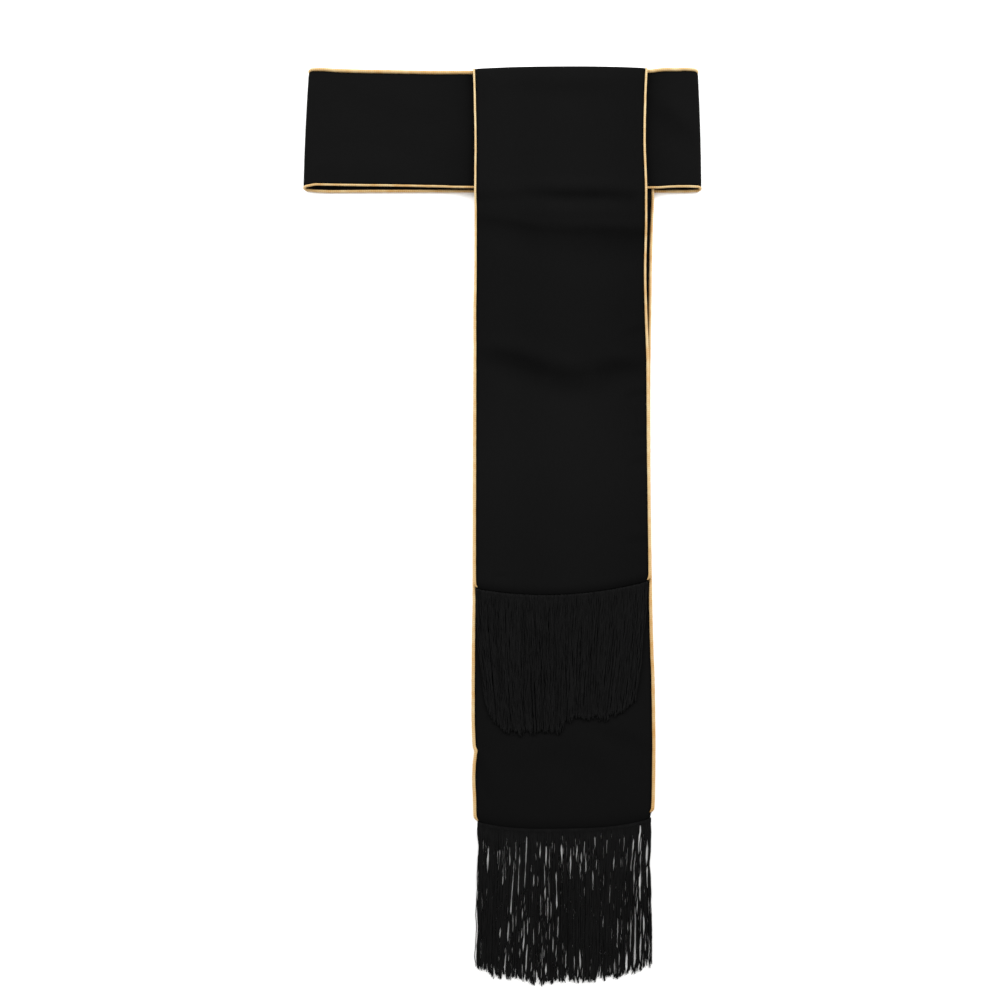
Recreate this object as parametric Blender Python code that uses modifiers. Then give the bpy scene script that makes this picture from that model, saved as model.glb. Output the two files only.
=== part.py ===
# Black band cincture with gold piping and two fringed tails, laid flat.
# Metres, +Z up. X runs along the waistband, +Y from the fringes to the waistband,
# and the origin is under the middle of the whole garment, on the surface it lies on.

import math
import random
from collections import namedtuple

import bmesh
import bpy
from mathutils import Vector

# Cloth and piping
CLOTH = 0.0016            # wall: two faces of cloth over an interlining
PIPING_RADIUS = 0.0015    # corded piping along every long edge
SEAM = 0.0003             # clearance between pieces that are sewn together
PIPING_LIFT = PIPING_RADIUS - CLOTH / 2        # the cord's centre over the cloth's middle
PIPING_REACH = PIPING_RADIUS + SEAM            # from the cloth's edge out to the cord's centre
PIPING_MARGIN = 2 * PIPING_RADIUS + SEAM       # from the cloth's edge out to the cord's far side
ALONG_X = Vector((1, 0, 0))
ALONG_Y = Vector((0, 1, 0))

# Waistband: a strip closed into a loop and pressed flat
BAND_BACK_LOW = 0.3301    # edges of the back wall, over its pipings
BAND_BACK_HIGH = 0.4571
BAND_FOLD_RADIUS = 0.0024
BAND_FOLD_STEPS = 6
BAND_CLOSING_X = 0.060    # the two ends of the strip meet here, behind the tails
LEFT_FOLD_X = -0.1981
LEFT_FOLD_SLANT = 0.0018  # the fold leans in towards the top edge
RIGHT_FOLD_X = 0.1999
RIGHT_FOLD_SLANT = -0.0008

# Tails
TURN_RADIUS = 0.00345     # the front tail's turn over the waistband's top edge
TURN_HEIGHT = 0.00765     # middle of that turn
TURN_BOW = 0.0023         # how much the turn rises between its corners
TURN_RELAX_Y = 0.4480     # where the turned-under end has come down flat behind the front wall
TURN_END_Y = 0.4250       # where it stops
TURN_STEPS = 6
STACK_HEIGHT = 0.0042     # middle of the cloth where it crosses the back wall's pipings
FLOOR_HEIGHT = CLOTH / 2  # middle of the cloth where it lies on the surface

# Fringes
HEADING_DEPTH = 0.0045
HEADING_THICKNESS = 0.0018
STRANDS = 120
STRAND_SIZE = 0.0010
STRAND_LAYER = 0.0013     # rise from the lower layer of strands to the upper one
STRAND_TAPER = 0.25       # share of its size that a strand loses by its tip
STRAND_ROOT_INSET = 0.0003
RAGGED_SHORT = 0.0030     # how much shorter and longer than the fringe's outline a strand may be
RAGGED_LONG = 0.0018
LOCK_SWAY = 0.0016        # strands lean together in locks, and each wanders a little by itself
SMALL_LOCK_SWAY = 0.0009
STRAND_WANDER = 0.0005

# Sections along each wall of the waistband: its edges over the pipings, and the cloth's height
Band = namedtuple("Band", "x low high z")
BAND_FRONT = (
    Band(LEFT_FOLD_X, 0.3345, 0.4628, 0.0056),
    Band(-0.1880, 0.3362, 0.4634, 0.0055),
    Band(-0.1720, 0.3361, 0.4622, 0.0052),
    Band(-0.1400, 0.3357, 0.4612, 0.0049),
    Band(-0.1050, 0.3353, 0.4606, 0.0048),
    Band(-0.0800, 0.3347, 0.4601, 0.0052),
    Band(-0.0600, 0.3339, 0.4596, 0.0062),
    Band(-0.0450, 0.3330, 0.4593, 0.0073),
    Band(-0.0350, 0.3328, 0.4592, 0.0076),
    Band(0.0600, 0.3327, 0.4596, 0.0076),
    Band(0.1520, 0.3328, 0.4599, 0.0076),
    Band(0.1600, 0.3329, 0.4609, 0.0076),
    Band(0.1700, 0.3339, 0.4619, 0.0073),
    Band(0.1820, 0.3342, 0.4621, 0.0064),
    Band(0.1900, 0.3343, 0.4628, 0.0059),
    Band(RIGHT_FOLD_X, 0.3337, 0.4622, 0.0056),
)
BAND_BACK = (
    Band(RIGHT_FOLD_X, 0.3312, 0.4594, FLOOR_HEIGHT),
    Band(0.1890, 0.3304, 0.4578, FLOOR_HEIGHT),
    Band(0.1700, BAND_BACK_LOW, BAND_BACK_HIGH, FLOOR_HEIGHT),
    Band(BAND_CLOSING_X + SEAM, BAND_BACK_LOW, BAND_BACK_HIGH, FLOOR_HEIGHT),
    Band(BAND_CLOSING_X, BAND_BACK_LOW, BAND_BACK_HIGH, FLOOR_HEIGHT),
    Band(-0.1700, BAND_BACK_LOW, BAND_BACK_HIGH, FLOOR_HEIGHT),
    Band(-0.1880, 0.3306, 0.4580, FLOOR_HEIGHT),
    Band(LEFT_FOLD_X, 0.3318, 0.4600, FLOOR_HEIGHT),
)

# Outer edges of each tail, over its pipings
Edge = namedtuple("Edge", "y left right")
FRONT_EDGES = (
    Edge(-0.0860, -0.0252, 0.1450),
    Edge(-0.0790, -0.0278, 0.1474),
    Edge(-0.0720, -0.0288, 0.1482),
    Edge(-0.0430, -0.0290, 0.1483),
    Edge(0.0600, -0.0292, 0.1481),
    Edge(0.1500, -0.0292, 0.1485),
    Edge(0.1950, -0.0291, 0.1480),
    Edge(0.2400, -0.0286, 0.1471),
    Edge(0.3000, -0.0284, 0.1482),
    Edge(0.3310, -0.0288, 0.1485),
    Edge(0.3800, -0.0286, 0.1475),
    Edge(0.4270, -0.0294, 0.1486),
    Edge(0.4620, -0.0304, 0.1502),
)
BACK_EDGES = (
    Edge(-0.3185, -0.0238, 0.1425),
    Edge(-0.3100, -0.0264, 0.1446),
    Edge(-0.3050, -0.0280, 0.1470),
    Edge(-0.2990, -0.0283, 0.1487),
    Edge(-0.2910, -0.0284, 0.1491),
    Edge(-0.2710, -0.0293, 0.1497),
    Edge(-0.2560, -0.0288, 0.1500),
    Edge(-0.2470, -0.0280, 0.1502),
    Edge(-0.2380, -0.0289, 0.1504),
    Edge(-0.2100, -0.0300, 0.1504),
    Edge(-0.1700, -0.0300, 0.1502),
    Edge(-0.1430, -0.0299, 0.1493),
    Edge(-0.0920, -0.0292, 0.1487),
    Edge(0.0100, -0.0292, 0.1486),
    Edge(0.1500, -0.0290, 0.1495),
    Edge(0.2270, -0.0272, 0.1511),
    Edge(0.2800, -0.0250, 0.1529),
    Edge(0.3290, -0.0224, 0.1556),
    Edge(0.4247, -0.0218, 0.1560),
)

# Sections across the front tail, from its hem to the top edge of the waistband:
# tilt and wave move a section along the tail, hem is its share of the hem's curve
Front = namedtuple("Front", "y tilt wave hem edge middle")
FRONT_SECTIONS = (
    Front(-0.0784, 0.0, 0.0, 1.0, 0.0041, 0.0035),
    Front(-0.0745, 0.0, 0.0, 1.0, 0.0042, 0.0037),
    Front(-0.0680, 0.0, 0.0, 0.9, 0.0042, 0.0038),
    Front(-0.0560, 0.0, 0.0, 0.6, 0.0042, 0.0043),
    Front(-0.0350, 0.0, 0.0, 0.2, 0.0042, 0.0049),
    Front(0.0000, 0.0, 0.0, 0.0, 0.0042, 0.0054),
    Front(0.0400, 0.0, 0.0, 0.0, 0.0042, 0.0052),
    Front(0.0800, 0.0, 0.2, 0.0, 0.0042, 0.0043),
    Front(0.1120, 0.0, 0.6, 0.0, 0.0042, 0.0034),
    Front(0.1320, 0.0, 0.9, 0.0, 0.0042, 0.0031),
    Front(0.1420, 0.0, 1.0, 0.0, 0.0042, 0.0034),
    Front(0.1520, 0.0, 1.0, 0.0, 0.0043, 0.0049),
    Front(0.1620, 0.0, 1.0, 0.0, 0.0044, 0.0061),
    Front(0.1760, 0.0, 0.7, 0.0, 0.0044, 0.0065),
    Front(0.2050, 0.002, 0.3, 0.0, 0.0044, 0.0062),
    Front(0.2400, 0.005, 0.0, 0.0, 0.0044, 0.0055),
    Front(0.2680, 0.009, 0.0, 0.0, 0.0046, 0.0052),
    Front(0.2820, 0.012, 0.0, 0.0, 0.0049, 0.0056),
    Front(0.2910, 0.013, 0.0, 0.0, 0.0060, 0.0067),
    Front(0.2990, 0.013, 0.0, 0.0, 0.0075, 0.0082),
    Front(0.3080, 0.008, 0.0, 0.0, 0.0084, 0.0089),
    Front(0.3180, 0.003, 0.0, 0.0, 0.0090, 0.0091),
    Front(0.3250, 0.0, 0.0, 0.0, 0.0102, 0.0099),
    Front(0.3310, 0.0, 0.0, 0.0, 0.0111, 0.0110),
    Front(0.3370, 0.0, 0.0, 0.0, 0.0111, 0.0111),
    Front(0.3470, 0.0, 0.0, 0.0, 0.0107, 0.0108),
    Front(0.3700, 0.0, 0.0, 0.0, 0.0102, 0.0105),
    Front(0.4100, 0.0, 0.0, 0.0, 0.0102, 0.0106),
    Front(0.4400, 0.0, 0.0, 0.0, 0.0105, 0.0108),
    Front(0.4520, 0.0, 0.0, 0.0, 0.0110, 0.0111),
)
# How the crease across the front tail wanders, from the left edge to the right
Wave = namedtuple("Wave", "u shift")
CREASE = (Wave(0.0, 0.009), Wave(0.22, 0.001), Wave(0.47, -0.011), Wave(0.7, -0.007), Wave(1.0, 0.0))

# Sections across the back tail, from its hem to its sewn end behind the waistband
Back = namedtuple("Back", "y hem z")
BACK_SECTIONS = (
    Back(-0.3098, 1.0, FLOOR_HEIGHT),
    Back(-0.3055, 1.0, FLOOR_HEIGHT),
    Back(-0.2990, 0.9, FLOOR_HEIGHT),
    Back(-0.2850, 0.5, FLOOR_HEIGHT),
    Back(-0.2560, 0.1, FLOOR_HEIGHT),
    Back(-0.2470, 0.0, FLOOR_HEIGHT),
    Back(-0.2380, 0.0, FLOOR_HEIGHT),
    Back(-0.2100, 0.0, FLOOR_HEIGHT),
    Back(-0.1430, 0.0, FLOOR_HEIGHT),
    Back(-0.0920, 0.0, FLOOR_HEIGHT),
    Back(0.0100, 0.0, FLOOR_HEIGHT),
    Back(0.0800, 0.0, FLOOR_HEIGHT),
    Back(0.1500, 0.0, FLOOR_HEIGHT),
    Back(0.2270, 0.0, FLOOR_HEIGHT),
    Back(0.2800, 0.0, FLOOR_HEIGHT),
    Back(0.3060, 0.0, FLOOR_HEIGHT),
    Back(0.3110, 0.0, 0.0011),
    Back(0.3170, 0.0, 0.0021),
    Back(0.3230, 0.0, 0.0033),
    Back(0.3280, 0.0, 0.0040),
    Back(0.3320, 0.0, STACK_HEIGHT),
    Back(0.3800, 0.0, STACK_HEIGHT),
    Back(TURN_END_Y - SEAM, 0.0, STACK_HEIGHT),
)

# Hems bow down between their corners
Hem = namedtuple("Hem", "left right bow power")
FRONT_HEM = Hem(-0.0026, 0.0026, 0.0068, 2.0)
BACK_HEM = Hem(-0.0015, 0.0015, 0.0082, 3.0)

# Ends of each fringe's heading
Heading = namedtuple("Heading", "left right")
FRONT_HEADING = Heading(-0.0258, 0.1448)
BACK_HEADING = Heading(-0.0258, 0.1466)

# Tips of the strands along each fringe, and how far they have moved in from their roots
Tip = namedtuple("Tip", "u y shift")
FRONT_TIPS = (
    Tip(0.0, -0.1990, 0.0080),
    Tip(0.06, -0.2150, 0.0085),
    Tip(0.14, -0.2245, 0.0070),
    Tip(0.47, -0.2245, 0.0010),
    Tip(0.54, -0.2130, -0.0020),
    Tip(0.86, -0.2100, -0.0120),
    Tip(1.0, -0.1950, -0.0130),
)
BACK_TIPS = (
    Tip(0.0, -0.4495, -0.0010),
    Tip(0.10, -0.4572, -0.0004),
    Tip(0.28, -0.4602, 0.0),
    Tip(0.48, -0.4640, 0.0),
    Tip(0.70, -0.4622, 0.0),
    Tip(0.88, -0.4560, -0.0008),
    Tip(1.0, -0.4495, -0.0009),
)
STRAND_STOPS = (0.10, 0.38, 0.70, 1.0)   # sections along a strand, as shares of its length

BLACK_CLOTH = ((0.0075, 0.0075, 0.0080), 0.85)
BLACK_RAYON = ((0.0085, 0.0085, 0.0088), 0.55)
GOLD_SATIN = ((0.720, 0.530, 0.290), 0.45)


def clear_scene():
    for thing in list(bpy.data.objects):
        bpy.data.objects.remove(thing)


def read_table(rows, column, at):
    """A column's value at a place between the rows of a table, on a curve that never overshoots them."""
    if rows[0][0] > rows[-1][0]:
        rows = rows[::-1]
    keys = [row[0] for row in rows]
    values = [getattr(row, column) for row in rows]
    if at <= keys[0]:
        return values[0]
    if at >= keys[-1]:
        return values[-1]
    rises = [(values[i + 1] - values[i]) / (keys[i + 1] - keys[i]) for i in range(len(keys) - 1)]
    slopes = [rises[0]]
    for before, after in zip(rises, rises[1:]):
        slopes.append(2 * before * after / (before + after) if before * after > 0 else 0.0)
    slopes.append(rises[-1])
    i = max(k for k in range(len(keys) - 1) if keys[k] <= at)
    step = keys[i + 1] - keys[i]
    t = (at - keys[i]) / step
    start = values[i] * (1 + 2 * t) * (1 - t) ** 2 + slopes[i] * step * t * (1 - t) ** 2
    end = values[i + 1] * (3 - 2 * t) * t**2 - slopes[i + 1] * step * (1 - t) * t**2
    return start + end


def hem_line(hem, u):
    """How far the hem stands from its straight line, u across the tail from 0 to 1."""
    chord = hem.left + (hem.right - hem.left) * u
    return chord - hem.bow * (1 - abs(2 * u - 1) ** hem.power)


def across(edges, y, u):
    """X of a point of the cloth at a share u of the way between its two edges."""
    left = read_table(edges, "left", y) + PIPING_MARGIN
    right = read_table(edges, "right", y) - PIPING_MARGIN
    return left + (right - left) * u


def band_top_y(x):
    """Middle of the piping on the front wall's top edge."""
    return read_table(BAND_FRONT, "high", x) - PIPING_RADIUS


def front_tail_rows():
    """One function of u for each section: the hanging part, the turn over the waistband and its return."""
    rows = []
    for section in FRONT_SECTIONS:
        def flat(u, s=section):
            rise = abs(2 * u - 1) ** 3
            slide = s.tilt * (0.5 - u) + s.wave * read_table(CREASE, "shift", u)
            y = s.y + slide + s.hem * hem_line(FRONT_HEM, u)
            return across(FRONT_EDGES, s.y, u), y, s.middle + (s.edge - s.middle) * rise
        rows.append(flat)
    for step in range(TURN_STEPS + 1):
        def turn(u, angle=math.pi * step / TURN_STEPS):
            x = across(FRONT_EDGES, FRONT_EDGES[-1].y, u)
            middle_y = band_top_y(x) + TURN_BOW * (1 - abs(2 * u - 1) ** 2.5)
            return x, middle_y + TURN_RADIUS * math.sin(angle), TURN_HEIGHT + TURN_RADIUS * math.cos(angle)
        rows.append(turn)
    for y in (TURN_RELAX_Y, TURN_END_Y):
        def under(u, y=y):
            return across(FRONT_EDGES, FRONT_EDGES[-1].y, u), y, STACK_HEIGHT
        rows.append(under)
    return rows


def back_tail_rows():
    rows = []
    for section in BACK_SECTIONS:
        def flat(u, s=section):
            return across(BACK_EDGES, s.y, u), s.y + s.hem * hem_line(BACK_HEM, u), s.z
        rows.append(flat)
    return rows


def band_rows():
    """One function of u for each section round the waistband, u from its bottom edge to its top one."""
    def between(low, high, u):
        return low + PIPING_MARGIN + (high - low - 2 * PIPING_MARGIN) * u

    def wall(station):
        share = (station.x - LEFT_FOLD_X) / (RIGHT_FOLD_X - LEFT_FOLD_X)
        slant = LEFT_FOLD_SLANT + (RIGHT_FOLD_SLANT - LEFT_FOLD_SLANT) * share
        return lambda u: (station.x + slant * (2 * u - 1), between(station.low, station.high, u), station.z)

    def fold(x, slant, outward, back, front, share):
        angle = math.pi * share
        low = back.low + (front.low - back.low) * share
        high = back.high + (front.high - back.high) * share
        return lambda u: (
            x + slant * (2 * u - 1) + outward * BAND_FOLD_RADIUS * math.sin(angle),
            between(low, high, u),
            FLOOR_HEIGHT + BAND_FOLD_RADIUS * (1 - math.cos(angle)),
        )

    shares = [step / BAND_FOLD_STEPS for step in range(1, BAND_FOLD_STEPS)]
    closing = [s.x for s in BAND_BACK].index(BAND_CLOSING_X)
    left_fold = [fold(LEFT_FOLD_X, LEFT_FOLD_SLANT, -1, BAND_BACK[-1], BAND_FRONT[0], s) for s in shares]
    right_fold = [fold(RIGHT_FOLD_X, RIGHT_FOLD_SLANT, 1, BAND_BACK[0], BAND_FRONT[-1], s) for s in shares]
    front = [wall(s) for s in BAND_FRONT]
    back = [wall(s) for s in BAND_BACK]
    return back[closing:] + left_fold + front + right_fold[::-1] + back[:closing]


def material(name, finish):
    colour, roughness = finish
    made = bpy.data.materials.new(name)
    made.use_nodes = True
    shader = made.node_tree.nodes["Principled BSDF"]
    shader.inputs["Base Color"].default_value = (*colour, 1.0)
    shader.inputs["Roughness"].default_value = roughness
    shader.inputs["Metallic"].default_value = 0.0
    return made


def add_object(name, data, finish, collection):
    made = bpy.data.objects.new(name, data)
    made.data.materials.append(material(name, finish))
    collection.objects.link(made)
    return made


def cloth(name, rows, columns, collection):
    """A wall of cloth: a grid laid on the sections, thickened to both sides."""
    bm = bmesh.new()
    bmesh.ops.create_grid(bm, x_segments=columns, y_segments=len(rows) - 1, size=0.5)
    for vert in bm.verts:
        u = vert.co.x + 0.5
        row = rows[round((vert.co.y + 0.5) * (len(rows) - 1))]
        vert.co = row(u)
    mesh = bpy.data.meshes.new(name)
    bm.to_mesh(mesh)
    bm.free()
    mesh.shade_smooth()
    wall = add_object(name, mesh, BLACK_CLOTH, collection)
    thicken = wall.modifiers.new("Solidify", "SOLIDIFY")
    thicken.thickness = CLOTH
    thicken.offset = 0.0
    thicken.use_even_offset = True
    return wall


def piping(name, rows, u, outward, collection):
    """A corded piping along one edge of a wall, standing off from it squarely to its run."""
    edge = [Vector(row(u)) for row in rows]
    spline_points = []
    for i, place in enumerate(edge):
        run = (edge[min(i + 1, len(edge) - 1)] - edge[max(i - 1, 0)]).normalized()
        side = (outward - outward.dot(run) * run).normalized()
        spline_points.append(place + PIPING_REACH * side + Vector((0, 0, PIPING_LIFT)))
    curve = bpy.data.curves.new(name, "CURVE")
    curve.dimensions = "3D"
    curve.bevel_depth = PIPING_RADIUS
    curve.bevel_resolution = 2
    curve.use_fill_caps = True
    spline = curve.splines.new("POLY")
    spline.points.add(len(spline_points) - 1)
    for point, place in zip(spline.points, spline_points):
        point.co = (*place, 1.0)
    return add_object(name, curve, GOLD_SATIN, collection)


def fringe(name, heading, hem, hem_y, tips, floor, seed, collection):
    """A heading strip along a hem with strands drawn out of it, in a lower and an upper layer."""
    rng = random.Random(seed)
    bottom = floor + SEAM
    bm = bmesh.new()
    bmesh.ops.create_grid(bm, x_segments=STRANDS, y_segments=1, size=0.5)
    heading_faces = list(bm.faces)
    for vert in bm.verts:
        u = vert.co.x + 0.5
        z = bottom + HEADING_THICKNESS * (vert.co.y + 0.5)
        y = hem_y + hem_line(hem, u) - SEAM
        vert.co = heading.left + (heading.right - heading.left) * u, y, z
    roots = bmesh.ops.extrude_face_region(bm, geom=heading_faces)["geom"]
    root_faces = sorted(
        (g for g in roots if isinstance(g, bmesh.types.BMFace)),
        key=lambda face: face.calc_center_median().x,
    )
    for vert in {v for face in root_faces for v in face.verts}:
        vert.co.y -= HEADING_DEPTH
    bmesh.ops.inset_individual(bm, faces=root_faces, thickness=STRAND_ROOT_INSET, use_even_offset=True)

    first, last = (face.calc_center_median().x for face in (root_faces[0], root_faces[-1]))
    for number, face in enumerate(root_faces):
        root = face.calc_center_median()
        u = (root.x - first) / (last - first)
        upper = number % 2
        lie = bottom + STRAND_SIZE / 2 + upper * STRAND_LAYER
        tip_y = read_table(tips, "y", u) + rng.uniform(-RAGGED_LONG, RAGGED_SHORT)
        drift = read_table(tips, "shift", u)
        lock = LOCK_SWAY * math.sin(21 * u + 2 * upper + seed) + SMALL_LOCK_SWAY * math.sin(47 * u + seed)
        wander = rng.uniform(-STRAND_WANDER, STRAND_WANDER)
        corners = [(math.copysign(1, v.co.x - root.x), math.copysign(1, v.co.z - root.z)) for v in face.verts]
        for stop in STRAND_STOPS:
            face = bmesh.ops.extrude_discrete_faces(bm, faces=[face])["faces"][0]
            x = root.x + drift * stop**1.3 + lock * math.sin(stop * 2.2) + wander * math.sin(stop * 5)
            y = root.y + (tip_y - root.y) * stop
            half = STRAND_SIZE / 2 * (1 - STRAND_TAPER * stop)
            for vert, (side, rise) in zip(face.verts, corners):
                vert.co = x + side * half, y, lie + rise * half
    bmesh.ops.recalc_face_normals(bm, faces=bm.faces)
    mesh = bpy.data.meshes.new(name)
    bm.to_mesh(mesh)
    bm.free()
    return add_object(name, mesh, BLACK_RAYON, collection)


def main():
    clear_scene()
    collection = bpy.data.collections.new("band_cincture")
    bpy.context.scene.collection.children.link(collection)

    band, front, back = band_rows(), front_tail_rows(), back_tail_rows()
    cloth("waistband", band, 4, collection)
    piping("waistband_piping_lower", band, 0.0, -ALONG_Y, collection)
    piping("waistband_piping_upper", band, 1.0, ALONG_Y, collection)
    cloth("tail_front", front, 10, collection)
    piping("tail_front_piping_left", front[1:], 0.0, -ALONG_X, collection)
    piping("tail_front_piping_right", front[1:], 1.0, ALONG_X, collection)
    cloth("tail_back", back, 6, collection)
    piping("tail_back_piping_left", back[1:], 0.0, -ALONG_X, collection)
    piping("tail_back_piping_right", back[1:], 1.0, ALONG_X, collection)
    front_hem_y, back_hem_y = FRONT_SECTIONS[0].y, BACK_SECTIONS[0].y
    fringe("fringe_front", FRONT_HEADING, FRONT_HEM, front_hem_y, FRONT_TIPS, CLOTH, 3, collection)
    fringe("fringe_back", BACK_HEADING, BACK_HEM, back_hem_y, BACK_TIPS, 0.0, 8, collection)


main()
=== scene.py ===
# Band cincture of black cloth with gold corded piping and two fringed tails, laid flat.
# Metres, +Z up. X runs along the waistband and +Y from the fringes to the waistband.
# The tables are in millimetres, apart from their columns of shares and tones.

import math
import random
from functools import partial

import bpy
import numpy as np
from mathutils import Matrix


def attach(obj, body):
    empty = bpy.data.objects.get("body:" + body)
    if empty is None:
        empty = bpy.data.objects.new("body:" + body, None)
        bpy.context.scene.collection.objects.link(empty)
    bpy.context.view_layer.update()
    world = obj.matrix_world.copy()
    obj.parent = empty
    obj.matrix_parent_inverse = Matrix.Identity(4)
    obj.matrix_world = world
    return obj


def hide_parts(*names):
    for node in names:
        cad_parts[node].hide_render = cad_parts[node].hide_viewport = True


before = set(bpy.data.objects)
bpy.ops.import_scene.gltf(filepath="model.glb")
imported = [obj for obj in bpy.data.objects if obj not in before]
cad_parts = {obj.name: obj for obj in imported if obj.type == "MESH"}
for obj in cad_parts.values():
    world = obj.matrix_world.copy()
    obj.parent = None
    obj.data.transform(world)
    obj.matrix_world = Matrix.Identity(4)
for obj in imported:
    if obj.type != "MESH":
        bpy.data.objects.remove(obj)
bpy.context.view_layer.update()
scene = bpy.context.scene

clothThickness = 0.0016
bandWidth, tailWidth = 0.1216, 0.1725    # of the cloth, which ends inside its cords
clothInset = 0.0027                      # from an outer edge in to the cloth
cordSolidRadius = 0.0015                 # the cord's outer side stands where the solid's does
seamGap = 0.0003
rowStep, columnStep = 0.0026, 0.0027     # between points along a strip and across it


# Tables and small curves

def inMetres(rows, *plain):
    # a table of millimetres in metres; its plain columns, which are shares or tones, stay as they are
    scale = np.full(len(rows[0]), 1000.0)
    scale[list(plain)] = 1
    return np.round(np.array(rows) / scale, 9)


def curveThrough(table, at):
    # the columns of a table between its rows, on curves that never overshoot them
    table = table[np.argsort(table[:, 0])]
    keys, values = table[:, 0], table[:, 1:]
    at = np.clip(at, keys[0], keys[-1])
    steps = np.diff(keys)[:, None]
    rises = np.diff(values, axis=0) / steps
    slopes = np.empty_like(values)
    slopes[0], slopes[-1] = rises[0], rises[-1]
    product, total = rises[:-1] * rises[1:], rises[:-1] + rises[1:]
    slopes[1:-1] = np.where(product > 0, 2 * product / np.where(total == 0, 1, total), 0)
    i = np.clip(np.searchsorted(keys, at, side="right") - 1, 0, len(keys) - 2)
    step = steps[i]
    t = (at - keys[i])[:, None] / step
    start = values[i] * (1 + 2 * t) * (1 - t) ** 2 + slopes[i] * step * t * (1 - t) ** 2
    end = values[i + 1] * (3 - 2 * t) * t**2 - slopes[i + 1] * step * (1 - t) * t**2
    return start + end


def smooth(t):
    t = np.clip(t, 0, 1)
    return t * t * (3 - 2 * t)


def bell(q):
    return np.exp(-(q**2))


def unit(vectors):
    return vectors / np.linalg.norm(vectors, axis=-1, keepdims=True)


def runAlong(line):
    # how far each point of a line is from its start
    return np.concatenate([[0], np.cumsum(np.linalg.norm(np.diff(line, axis=0), axis=1))])


def pointRow(x, y, z):
    # a row of points, where any of the three may be one number
    return np.stack(np.broadcast_arrays(x, y, z), axis=-1)


def ripple(s, seed, height, lengths):
    # an uneven wave along a line
    rng = random.Random(seed)
    total = np.zeros_like(s)
    for length in lengths:
        total += np.sin(2 * math.pi * s / length + rng.uniform(0, 6.28)) * rng.uniform(0.6, 1.0)
    return height / len(lengths) * total


def softWaves(x, y, seed, height, lengths):
    # a gentle uneven swell over a surface
    rng = random.Random(seed)
    total = np.zeros_like(x)
    for length in lengths:
        for _ in range(3):
            way = rng.uniform(0, math.pi)
            place = (x * math.cos(way) + y * math.sin(way)) / length
            total += np.sin(2 * math.pi * place + rng.uniform(0, 6.28))
    return height / (2 * len(lengths)) * total


def creaseHeight(x, y, creases, seed):
    # soft troughs (positive depth) and ridges (negative) along drawn paths, each row x, y,
    # width towards +Y, width towards -Y, depth; a short upper width makes a drop
    height = np.zeros_like(x)
    for number, path in enumerate(creases):
        path = inMetres(path)
        along = runAlong(path[:, :2])
        fine = np.linspace(0, along[-1], max(8, int(along[-1] / 0.004)))
        path = curveThrough(np.column_stack([along, path]), fine)
        path[:, 4] *= 1 + ripple(fine, seed + number, 0.25, (0.023, 0.041, 0.07))
        near = np.full(x.shape, np.inf)
        width, depth = np.ones_like(x), np.zeros_like(x)
        for a, b in zip(path[:-1], path[1:]):
            run = b[:2] - a[:2]
            t = np.clip(((x - a[0]) * run[0] + (y - a[1]) * run[1]) / (run @ run), 0, 1)
            sideX, sideY = x - a[0] - t * run[0], y - a[1] - t * run[1]
            gap = np.hypot(sideX, sideY)
            closer = gap < near
            near = np.where(closer, gap, near)
            here = a + (b - a) * t[..., None]
            sway = smooth(0.5 + 0.5 * sideY / np.maximum(gap, 1e-6))
            width = np.where(closer, here[..., 3] + (here[..., 2] - here[..., 3]) * sway, width)
            depth = np.where(closer, here[..., 4], depth)
        q = near / width
        height -= depth * (bell(q) - 0.25 * bell(q - 2.1))
    return height


def acrossCloth(low, high, u):
    # places on the cloth from one outer edge over its pipings to the other
    return low + clothInset + (high - low - 2 * clothInset) * u


def edgeStations(length, step, bothEnds=True):
    # places along a length in metres, closer together at its ends
    near = [0, 0.0006, 0.0013, 0.0022, 0.0034, 0.0050]
    last = near if bothEnds else [0]
    inner = np.linspace(near[-1], length - last[-1], max(3, round(length / step)))[1:-1]
    return np.concatenate([near, inner, length - np.array(last[::-1])])


# Meshes

def addObject(name, data):
    made = bpy.data.objects.new(name, data)
    scene.collection.objects.link(made)
    return made


def addPiece(name, points, faces, uv, tone, finish):
    # tone is how much lighter or darker than its finish the piece is at each point, as a share; it carries
    # painted light and shade as well as random changes of tone
    mesh = bpy.data.meshes.new(name)
    mesh.from_pydata(points.tolist(), [], faces)
    mesh.uv_layers.new(name="UVMap").data.foreach_set("uv", uv.ravel())
    mesh.validate()
    mesh.shade_smooth()
    mesh.materials.append(finish)
    mesh.attributes.new("tone", "FLOAT", "POINT").data.foreach_set("value", tone.astype(np.float32))
    piece = addObject(name, mesh)
    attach(piece, "root")
    return piece


def quadsOf(grid):
    # the corners of each quad on a grid, or on a stack of grids
    corners = [grid[..., :-1, :-1], grid[..., :-1, 1:], grid[..., 1:, 1:], grid[..., 1:, :-1]]
    return np.stack(corners, axis=-1).reshape(-1, 4)


def normalsOf(middle):
    return unit(np.cross(np.gradient(middle, axis=1), np.gradient(middle, axis=0)))


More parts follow.
